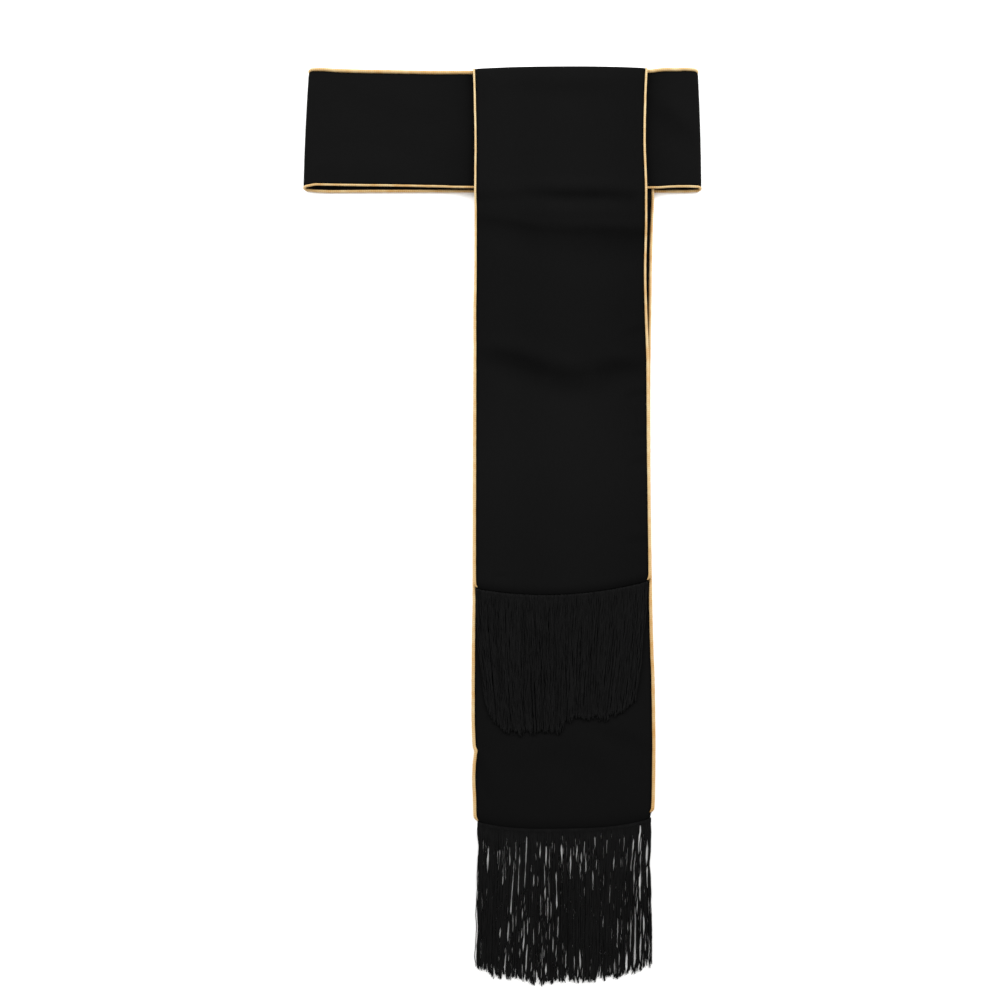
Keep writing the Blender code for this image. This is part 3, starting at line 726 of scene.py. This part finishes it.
pipingSpec = {
    "step": 0.0016, "lift": 0.0007, "roundEnd": (0.30, 0.72, 0.93), "tuckedEnd": 0.62,
    # how much the radius, the run and the tone waver, and over which lengths
    "unevenness": (0.035, (0.007, 0.017, 0.041)), "wobble": (0.0001, (0.012, 0.03, 0.07)),
    "toneSway": (0.09, (0.011, 0.035, 0.09)),
    # ends tuck into the hem: towards the hem, in towards the cloth, down
    "tuck": inMetres([
        (1.2, 0.1, 0), (2.4, 0.7, 0.2), (3.4, 1.8, 0.5), (4, 3.2, 0.9),
    ]),
    # share of the run from the closing round the waistband or from a hem up its tail, then the
    # radius, how far it stands out, and its tone, which is painted light and shade
    "waistband_cord_lower": inMetres([
        (0, 1.4, 0, -0.1), (0.3, 1.4, 0, -0.1), (0.35, 1.12, 0, -0.02), (0.52, 1.1, 0, -0.04),
        (0.72, 1.1, 0, 0), (0.79, 1.12, 0, 0.02), (0.84, 1.4, 0, -0.1), (1, 1.4, 0, -0.1),
    ], 0, 3),
    "waistband_cord_upper": inMetres([
        (0, 1.42, 0, -0.06), (0.3, 1.42, 0, -0.06), (0.335, 1.65, 0.3, -0.04), (0.36, 1.9, 0.3, -0.05),
        (0.52, 1.88, 0.3, -0.06), (0.6, 1.85, 0.4, -0.06), (0.74, 1.88, 0.6, -0.05),
        (0.8, 1.8, 0.7, -0.02), (0.84, 1.42, 0, -0.05), (1, 1.42, 0, -0.05),
    ], 0, 3),
    "tail_front_cord_left": inMetres([
        (0, 1.38, 0, -0.02), (0.3, 1.4, -0.1, -0.03), (0.5, 1.38, 0, -0.02), (0.58, 1.12, -0.1, 0.02),
        (0.66, 1.06, 0, 0.08), (0.74, 1, 0, 0.12), (1, 1, 0, 0.16),
    ], 0, 3),
    "tail_front_cord_right": inMetres([
        (0, 1.42, 0, -0.1), (0.06, 1.4, 0, -0.05), (0.12, 1.4, 0, 0.05), (0.3, 1.4, 0, 0.06),
        (0.4, 1.38, 0, -0.02), (0.55, 1.14, 0, -0.06), (0.66, 1.1, 0, -0.04), (0.74, 1.1, 0, 0.02),
        (0.82, 1.1, 0, 0.07), (1, 1.1, 0, 0.1),
    ], 0, 3),
    "tail_back_cord_left": inMetres([
        (0, 1.52, 0, -0.04), (0.25, 1.54, 0, -0.04), (1, 1.42, 0, 0),
    ], 0, 3),
    "tail_back_cord_right": inMetres([
        (0, 1.58, 0.1, -0.16), (0.14, 1.6, 0.1, -0.15), (0.25, 1.62, 0.1, -0.13), (0.38, 1.5, 0, -0.08),
        (0.5, 1.48, 0, 0), (0.6, 1.5, 0, -0.08), (0.78, 1.5, 0, -0.08), (1, 1.45, 0, -0.04),
    ], 0, 3),
}


def addCord(name, middle, column, seed, tuckFrom=0.0, bulges=()):
    # a piping on one edge of a cloth grid; column is 0 or -1, bulges are y, push, swell and reach;
    # where it has a tucked end, that end starts this far up from the hem
    edge = middle[:, column]
    outward = unit(edge - middle[:, 3 if column == 0 else -4])
    centre = edge + outward * (clothInset - cordSolidRadius) + np.array([0, 0, pipingSpec["lift"]])
    if tuckFrom:
        keep = np.linalg.norm(edge - edge[0], axis=1) > tuckFrom
        centre, outward = centre[keep], outward[keep]
        ahead = unit(centre[0] - centre[3])
        onward, inward, lower = pipingSpec["tuck"].T[..., None]
        tail = centre[0] + ahead * onward - outward[0] * inward - np.array([0, 0, 1]) * lower
        turned = [outward[0] * (1 - t) + ahead * t for t in (1.0, 0.75, 0.4, 0.15)]
        centre = np.concatenate([tail[::-1], centre])
        outward = np.concatenate([turned, outward])
    run = runAlong(centre)
    even = np.linspace(0, run[-1], round(run[-1] / pipingSpec["step"]))
    centre, outward = np.split(curveThrough(np.column_stack([run, centre, outward]), even), 2, axis=1)
    ahead = unit(np.gradient(centre, axis=0))
    side = unit(outward - np.sum(outward * ahead, axis=1, keepdims=True) * ahead)
    # the tone column is painted light and shade along the cord
    thick, push, tone = curveThrough(pipingSpec[name], even / even[-1]).T
    thick = thick * (1 + ripple(even, seed, *pipingSpec["unevenness"]))
    push = push + ripple(even, seed + 1, *pipingSpec["wobble"])
    tone = tone + ripple(even, seed + 2, *pipingSpec["toneSway"])
    for y, out, swell, reach in bulges:
        near = bell((centre[:, 1] - y) / reach)
        push = push + out * near
        thick = thick * (1 + swell * near)
    centre = centre + side * push[:, None]
    if tuckFrom:
        thick = thick * (pipingSpec["tuckedEnd"] + (1 - pipingSpec["tuckedEnd"]) * smooth(even / 0.005))
    centre[:, 2] = np.maximum(centre[:, 2], thick + 0.00004)
    for k, share in enumerate(pipingSpec["roundEnd"]):
        thick[[k, -1 - k]] *= share
    cord = tubePiece(name, centre[None], side[None], np.cross(side, ahead)[None], thick[None], tone[None], 14,
                     goldPiping)
    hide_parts(name.replace("cord", "piping"))
    return cord


bandCords = [
    addCord("waistband_cord_lower", bandMiddle, 0, 41),
    addCord("waistband_cord_upper", bandMiddle, -1, 43),
]
frontCords = [
    addCord("tail_front_cord_left", frontMiddle, 0, 45, tuckFrom=0.0042,
            bulges=[(0.1395, 0.00010, 0.16, 0.0011), (0.1372, -0.00012, -0.12, 0.0008)]),
    addCord("tail_front_cord_right", frontMiddle, -1, 47, tuckFrom=0.0046),
]
backCords = [
    addCord("tail_back_cord_left", backMiddle, 0, 49, tuckFrom=0.0042,
            bulges=[(-0.2427, -0.0011, 0.06, 0.0030)]),
    addCord("tail_back_cord_right", backMiddle, -1, 51, tuckFrom=0.0086),
]
print("pipings made")


# Stitches

stitchSpec = {
    "spacing": 0.0029, "length": 0.0019, "radius": 0.00013, "sink": 0.00004, "fromEnds": 0.0050,
    "columnsIn": 3,
    # share along a stitch, and how far it stands out of the cloth
    "path": inMetres([(0, -0.25), (0.12, 0), (0.5, 0.06), (0.88, 0), (1, -0.25)], 0),
}


def addStitches(name, middle, thickness, seed):
    # short running stitches along both edges of a cloth grid, on its outside, as one mesh
    rng = random.Random(seed)
    normal = normalsOf(middle)
    along, out = stitchSpec["path"].T
    lines, ups = [], []
    for column in (stitchSpec["columnsIn"], -1 - stitchSpec["columnsIn"]):
        face = thickness[:, column, None] / 2 - stitchSpec["sink"]
        surface = middle[:, column] + normal[:, column] * face
        run = runAlong(surface)
        first = stitchSpec["fromEnds"]
        for start in np.arange(first, run[-1] - first, stitchSpec["spacing"]):
            at = start + rng.uniform(-0.00015, 0.00015) + stitchSpec["length"] * along
            spot = np.stack([np.interp(at, run, surface[:, axis]) for axis in range(3)], axis=1)
            up = np.stack([np.interp(at, run, normal[:, column, axis]) for axis in range(3)], axis=1)
            lines.append(spot + up * out[:, None])
            ups.append(up)
    lines, ups = np.array(lines), np.array(ups)
    sides = unit(np.cross(np.gradient(lines, axis=1), ups))
    radii = np.full(lines.shape[:2], stitchSpec["radius"])
    return tubePiece(name, lines, sides, ups, radii, radii * 0, 5, blackThread)


bandStitches = addStitches("waistband_stitches", bandMiddle, bandThickness, 61)
frontStitches = addStitches("tail_front_stitches", frontMiddle, frontThickness, 63)
backStitches = addStitches("tail_back_stitches", backMiddle, backThickness, 65)
print("stitches made")


# Fringes

strandSpec = {
    "layerHeight": 0.00046, "layerShift": 0.33, "jitter": 0.22, "curl": 0.0005, "toneSpread": 0.10,
    # a lock is neighbours that lie together; some strands cross them, and some stray at their tips
    "lockWidth": (0.004, 0.010), "crossingReach": 0.0032, "strayShare": 0.06,
    # each strand sways over these lengths, by these shares of its wander
    "sways": ((0.045, 1.0), (0.019, 0.55), (0.008, 0.22)), "sideReach": 0.010,
}
frontFringeSpec = {
    **strandSpec,
    "heading": (-0.0258, 0.1448), "headingHeight": 0.0024, "floor": 0.0018, "seed": 3,
    "perLayer": 185, "radius": (0.00038, 0.00048),
    # share across, y of the tips, how far they have moved along X from their roots
    "tips": inMetres([
        (0, -199, 10), (0.06, -215, 10), (0.14, -224.5, 8), (0.47, -224.5, 1), (0.54, -213, -2),
        (0.86, -210, -13), (1, -195, -14),
    ], 0),
    # share down, how far the left and right outer strands lie in from their straight lines
    "sides": inMetres([(0, 0, 0), (0.45, -1.8, 0), (0.8, -0.8, -0.6), (1, 0, 0)], 0),
    # how far locks and single strands stray
    "lean": 0.0010, "bow": 0.0010, "close": 0.05, "flow": 0.0008,
    "wander": 0.00040, "crossing": 0.07, "ragged": 0.0022,
    # tufts at the tips: how wide, how much they close, differ in length and bend
    "tuft": (0.0013, 0.0034), "tuftClose": 0.7, "tuftLength": 0.0017, "tuftBend": 0.0006,
    # painted shade by the share down, darkest at the roots under the hem
    "paintedShadingDown": np.array([
        (0, -0.6), (0.015, -0.58), (0.035, -0.4), (0.1, -0.27), (0.35, -0.14), (0.7, -0.06), (1, -0.04),
    ]),
    # slits where strands part, here only by chance: from x, to x, from y, to y, how many, width
    "slits": [], "chanceSlits": inMetres([(-20, 140, -90, -210, 40, 0)], 4),
}
backFringeSpec = {
    **strandSpec,
    "heading": (-0.0235, 0.1452), "headingHeight": 0.0006, "floor": 0.0002, "seed": 8,
    "perLayer": 195, "radius": (0.00040, 0.00050),
    "tips": inMetres([
        (0, -451.5, -2.4), (0.12, -458, -6), (0.25, -463, -6.6), (0.45, -465.5, -1.2), (0.6, -465.5, -0.4),
        (0.8, -461.2, -5.5), (0.92, -455.5, -5.5), (1, -451, 0),
    ], 0),
    "sides": inMetres([
        (0, -0.2, 0), (0.06, -0.6, 0), (0.2, 0.9, 0.9), (0.33, 0.5, 2.1), (0.45, 0.3, 0.8),
        (0.6, 0.1, 0.6), (0.73, 0.9, 0.4), (0.87, 0.4, 0.2), (1, 0.3, 0.6),
    ], 0),
    "lean": 0.0003, "bow": 0.0003, "close": 0.03, "flow": 0.0012,
    "wander": 0.00026, "crossing": 0.04, "ragged": 0.0016,
    "tuft": (0.0012, 0.0032), "tuftClose": 0.9, "tuftLength": 0.0016, "tuftBend": 0.0008,
    # painted shade by the share down, darkest at the roots under the hem
    "paintedShadingDown": np.array([
        (0, -0.74), (0.03, -0.66), (0.055, -0.4), (0.1, -0.2), (0.3, -0.1), (1, -0.08),
    ]),
    # x and y of a slit's upper end, how far it moves along X, length, width
    "slits": inMetres([
        (-14, -333, 0, 30, 0.55), (-1, -336, -3, 26, 0.55), (3, -331, -2, 46, 0.8),
        (4, -340, -1, 33, 0.55), (13, -342, -6, 66, 0.55), (7, -405, -2, 23, 0.3), (17, -343, -2, 45, 0.5),
        (22, -325, 0, 12, 0.2), (25, -322, -4, 59, 0.5), (22, -390, 0, 10, 0.25), (27, -401, -2, 12, 0.3),
        (22, -405, -2, 32, 0.5), (25, -427, -3, 32, 0.6), (-2, -415, 0, 10, 0.3), (3, -431, 0, 9, 0.35),
        (17, -434, 0, 10, 0.45), (34, -330, 0, 10, 0.4), (37, -335, 0, 12, 0.3), (31, -362, 0, 13, 0.3),
        (29, -353, -1, 10, 0.3), (47, -330, -2, 32, 0.85), (44, -332, -2, 26, 0.35),
        (41, -348, 1, 40, 0.25), (45, -351, 1, 41, 0.25), (45, -382, -1, 33, 0.55),
        (47, -405, -2, 22, 0.55), (51, -330, 0, 20, 0.4), (52, -359, 2, 40, 0.35),
        (55, -400, -2, 26, 0.35), (58, -335, 0, 13, 0.25), (61, -332, 0, 20, 0.4), (68, -334, -3, 37, 0.4),
        (70, -334, 0, 12, 0.35), (73, -334, 0, 20, 0.35), (77, -342, 1, 13, 0.35),
        (81, -330, -1, 23, 0.35), (87, -332, 0, 6, 0.3), (90, -324, 1, 17, 0.35), (89, -357, -1, 24, 0.3),
        (105, -371, -1, 24, 0.2), (118, -342, -2, 18, 0.35), (123, -330, -3, 37, 0.55),
        (130, -325, -6, 39, 0.55), (130, -336, -2, 37, 0.7), (136, -312, -3, 35, 0.8),
        (138, -321, 0, 17, 0.35), (136, -335, -4, 58, 0.7), (139, -326, -1, 15, 0.3),
        (115, -367, 0, 5, 0.3), (126, -387, -2, 57, 0.75), (129, -384, 0, 70, 1), (131, -382, 0, 23, 0.4),
        (135, -389, -1, 36, 0.55), (137, -401, 0, 23, 0.45), (122, -405, 0, 15, 0.3),
        (134, -422, -1, 26, 0.4), (113, -402, 0, 11, 0.35), (111, -429, 0, 7, 0.3),
        (120, -436, 0, 21, 0.5), (41, -433, -1, 12, 0.5), (53, -428, -1, 18, 0.35),
        (59, -426, -1, 10, 0.3),
    ]),
    "chanceSlits": inMetres([
        (-18, 140, -333, -356, 52, 0.06), (25, 100, -342, -375, 16, 0.06),
        (112, 142, -332, -445, 26, 0.16), (5, 56, -385, -445, 22, 0.12), (0, 130, -442, -460, 26, 0.25),
    ], 4),
}


def drawLocks(rng, left, right, widths, spread):
    # neighbouring strands that lie together: left end, middle, then the amounts drawn for each
    locks, start = [], left
    while start < right:
        width = rng.uniform(*widths)
        locks.append((start, start + width / 2, *(rng.gauss(0, amount) for amount in spread)))
        start += width
    return np.array(locks)


def lockOf(locks, x):
    return locks[np.clip(np.searchsorted(locks[:, 0], x, side="right") - 1, 0, len(locks) - 1)]


def allSlits(spec, rng):
    # the drawn slits and the smaller ones that come by chance
    slits = list(spec["slits"])
    for fromX, toX, fromY, toY, count, width in spec["chanceSlits"]:
        for _ in range(int(count)):
            x, y = rng.uniform(fromX, toX), rng.uniform(toY, fromY)
            length = rng.uniform(0.009, 0.026)
            lean = -0.06 * length if x > 0.1 else rng.gauss(0, 0.05) * length
            slits.append((x, y + length / 2, lean, length, width * rng.uniform(0.5, 1.3)))
    return slits


def partStrands(slits, x, y, room):
    # each strand lies wholly to one side of a slit, which is widest at its middle and pointed at its
    # ends; room is added for the strands' own thickness
    rows = np.arange(len(x))
    for topX, topY, lean, length, width in slits:
        down = np.clip((topY - y) / length, 0, 1)
        opening = width * np.sin(math.pi * down) + room * smooth(7 * np.minimum(down, 1 - down))
        gap = x - (topX + lean * down)
        nearest = np.argmin(np.abs(y - topY + length / 2), axis=1)
        side = np.where(gap[rows, nearest] < 0, -1.0, 1.0)[:, None]
        gap = gap * side
        held = gap + np.maximum(-gap, 0) * smooth(6 * down) * smooth(6 - 6 * down) * (np.abs(gap) < 0.004)
        push = opening / 2 * np.exp(-np.abs(held) / np.maximum(2.4 * opening, 1e-5))
        x = x + side * (held - gap + push)
    return x


def combFringe(name, spec, hemRow, layers, around, stations):
    # strands hanging from a hem in layers that lie on each other, 0 the lowest
    rng = random.Random(spec["seed"] + 100 * layers[0])
    shared = random.Random(spec["seed"])
    left, right = spec["heading"]
    pitch = (right - left) / spec["perLayer"]
    t = np.concatenate([np.linspace(0, 0.93, stations - 4), [0.955, 0.975, 0.99, 1.0]])
    sideLeft, sideRight = curveThrough(spec["sides"], t).T
    # painted shade down the strands, darkest at their roots under the hem
    paintedShadingDown = curveThrough(spec["paintedShadingDown"], t)[:, 0]
    tufts = drawLocks(shared, left, right, spec["tuft"], (0.8, spec["tuftLength"], spec["tuftBend"]))
    slits = allSlits(spec, shared)
    grid = np.linspace(left, right, 240)
    flow = ripple(grid, spec["seed"], spec["flow"], (0.012, 0.027, 0.055))
    lines, radii, tones = [], [], []
    for layer in layers:
        amounts = (spec["lean"], spec["bow"], 2.0, spec["close"], 0.06)
        locks = drawLocks(rng, left, right, spec["lockWidth"], amounts)
        for k in range(spec["perLayer"]):
            off = spec["layerShift"] * (layer - 1) + rng.uniform(-spec["jitter"], spec["jitter"])
            x0 = min(max(left + pitch * (k + 0.5 + off), left), right)
            u = (x0 - left) / (right - left)
            y0, z0 = (np.interp(x0, hemRow[:, 0], hemRow[:, axis]) for axis in (1, 2))
            y0, z0 = y0 + 0.0006, z0 + rng.uniform(-0.0006, -0.0001)
            tipY, shift = curveThrough(spec["tips"], [u])[0]
            _, centre, lean, bow, phase, close, lockTone = lockOf(locks, x0)
            free = min(1.0, 9 * (1 - 2 * abs(u - 0.5)))             # the outermost strands hang straight
            crossing = rng.gauss(0, spec["crossingReach"]) if rng.random() < spec["crossing"] else 0.0
            x = x0 + shift * t**1.3 + free * (lean * t**1.5 + crossing * t**1.2) + rng.gauss(0, 0.0005) * t
            x = x + free * bow * np.sin(2.6 * t + phase) * smooth(t / 0.2)
            x = x + free * np.interp(x0, grid, flow) * np.sin(3.4 * t + 3 * u) * smooth(t / 0.3)
            x = x - (x0 - centre) * abs(close) * smooth((t - 0.1) / 0.8) * free
            x = x + sideLeft * math.exp((left - x0) / spec["sideReach"])
            x = x - sideRight * math.exp((x0 - right) / spec["sideReach"])
            for length, share in spec["sways"]:
                sway = np.sin(2 * math.pi * t * (y0 - tipY) / length + rng.uniform(0, 6.28))
                x = x + spec["wander"] * share * sway * smooth(t / 0.08)
            _, tuftCentre, gather, longer, bend = lockOf(tufts, x[-1])
            gather = (tuftCentre - x[-1]) * min(abs(gather), 1) * spec["tuftClose"]
            stray = rng.random() < spec["strayShare"]
            curl = rng.gauss(0, spec["curl"]) * (3.0 if stray else 1.0)
            x = x + gather * smooth((t - 0.93) / 0.06) + free * (curl + bend) * smooth((t - 0.95) / 0.05)
            tipY += longer + rng.gauss(0, spec["ragged"] / 2) + spec["ragged"] * rng.random()
            if stray:
                tipY -= rng.uniform(0.0010, 0.0030)
            radius = rng.uniform(*spec["radius"])
            above = layer * spec["layerHeight"] * (1 - 0.7 * smooth((t - 0.86) / 0.14))
            lie = spec["floor"] + radius + above + rng.uniform(0, 0.0002)
            z = z0 + (lie - z0) * smooth((t - 0.015) / 0.10)
            swell = 1 + np.sin(2 * math.pi * t * rng.uniform(2.0, 4.5) + rng.uniform(0, 6.28))
            z = z + 0.00016 * swell * smooth((t - 0.1) / 0.2)
            if crossing:
                z = z + 0.0006 * np.sin(math.pi * t)
            thin = 1 - 0.12 * t
            thin[-3:] = (0.85, 0.8, 0.6) if stray else (1.0, 1.0, 0.8)
            lines.append(pointRow(x, y0 + (tipY - y0) * t, np.maximum(z, radius + 0.00003)))
            radii.append(radius * thin)
            tones.append(paintedShadingDown + lockTone + rng.gauss(0, spec["toneSpread"]))
    lines = np.array(lines)
    lines[..., 0] = partStrands(slits, lines[..., 0], lines[..., 1], 2 * spec["radius"][0])
    run = unit(np.gradient(lines, axis=1))
    side = unit(np.cross(run, np.array([0.0, 0.0, 1.0])))
    return tubePiece(name, lines, side, np.cross(side, run), np.array(radii), np.array(tones), around,
                     blackStrands)


def layHeading(name, spec, hemRow):
    # the tape that the strands are knitted into, under their upper ends
    xs = np.linspace(*spec["heading"], 230)
    ys = np.interp(xs, hemRow[:, 0], hemRow[:, 1])
    rib = 0.00010 * np.sin(2 * math.pi * xs / 0.0015)
    # each row of the tape: how far it is above the hem, and its share of the two ridges
    rows = inMetres([(-4, 0), (-3.4, 0.5), (-2.6, 1), (-1.8, 0.4), (-1, 1), (-0.2, 0.5), (0.4, 0)], 1)
    middle = np.array([pointRow(xs, ys + offset, spec["headingHeight"] + 0.00012 * ridge + rib)
                       for offset, ridge in rows])
    even = np.ones(middle.shape[:2])
    # painted shade: the tape is darker all over, as it lies in shade under the hem
    return clothPiece(name, middle, 0.0008 * even, -0.45 * even, blackStrands)


def addFringe(node, spec, hemRow):
    under = combFringe(node + "_strands_under", spec, hemRow, (0,), 5, 31)
    upper = combFringe(node + "_strands", spec, hemRow, (1, 2), 6, 41)
    for piece in (under, upper):
        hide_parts(node)
    return [under, upper, layHeading(node + "_heading", spec, hemRow)]


frontFringe = addFringe("fringe_front", frontFringeSpec, frontMiddle[0])
backFringe = addFringe("fringe_back", backFringeSpec, backMiddle[0])
print("fringes made")


# Floor, lights, camera

studio = {
    "floorColour": (0.97, 0.97, 0.965), "floorSize": 12.0,
    "skyColour": (1.0, 0.997, 0.99), "skyStrength": 0.87,
    # two soft lamps beyond the waistband's corners, aimed at the origin: power, size, place of the right one
    "lampPower": 42.0, "lampSize": 0.9, "lampPlace": (1.4, 1.15, 0.9),
    "cameraTilt": 12.0, "cameraDistance": 2.8, "cameraTarget": (-0.00205, 0.0093, 0.0), "lens": 100.8,
}


def makeFloor(spec):
    finish, tree, shader = startFinish("paleFloor")
    place = addNode(tree, "ShaderNodeTexCoord").outputs["Object"]
    drift = placeGroup(tree, toneDrift, place, {"Size": 3.0})
    low = tuple(0.98 * c for c in spec["floorColour"])
    colour = colourBetween(tree, drift["Mask"], low, spec["floorColour"])
    setInputs(tree, shader, {"Base Color": colour, "Roughness": 0.85, "Specular IOR Level": 0.1})
    half = spec["floorSize"] / 2
    corners = [(-half, -half, 0), (half, -half, 0), (half, half, 0), (-half, half, 0)]
    mesh = bpy.data.meshes.new("floor")
    mesh.from_pydata(corners, [], [(0, 1, 2, 3)])
    mesh.materials.append(finish)
    addObject("floor", mesh)


def makeLights(spec):
    world = bpy.data.worlds.new("studioSky")
    world.use_nodes = True
    sky = world.node_tree.nodes["Background"]
    setInputs(world.node_tree, sky, {"Color": (*spec["skyColour"], 1), "Strength": spec["skyStrength"]})
    scene.world = world
    for side, name in ((-1, "leftLamp"), (1, "rightLamp")):
        data = bpy.data.lights.new(name, "AREA")
        data.energy, data.size = spec["lampPower"], spec["lampSize"]
        lamp = addObject(name, data)
        x, y, z = spec["lampPlace"]
        lamp.location = (side * x, y, z)
        lamp.rotation_euler = (-lamp.location).to_track_quat("-Z", "Y").to_euler()


def makeCamera(spec):
    tilt = math.radians(spec["cameraTilt"])
    distance = spec["cameraDistance"]
    x, y, z = spec["cameraTarget"]
    data = bpy.data.cameras.new("photoCamera")
    data.lens, data.sensor_width = spec["lens"], 36.0
    camera = addObject("photoCamera", data)
    camera.location = (x, y - distance * math.sin(tilt), z + distance * math.cos(tilt))
    camera.rotation_euler = (tilt, 0, 0)
    scene.camera = camera


makeFloor(studio)
makeLights(studio)
makeCamera(studio)
scene.view_settings.view_transform = "Standard"
print("floor, lights and camera made")
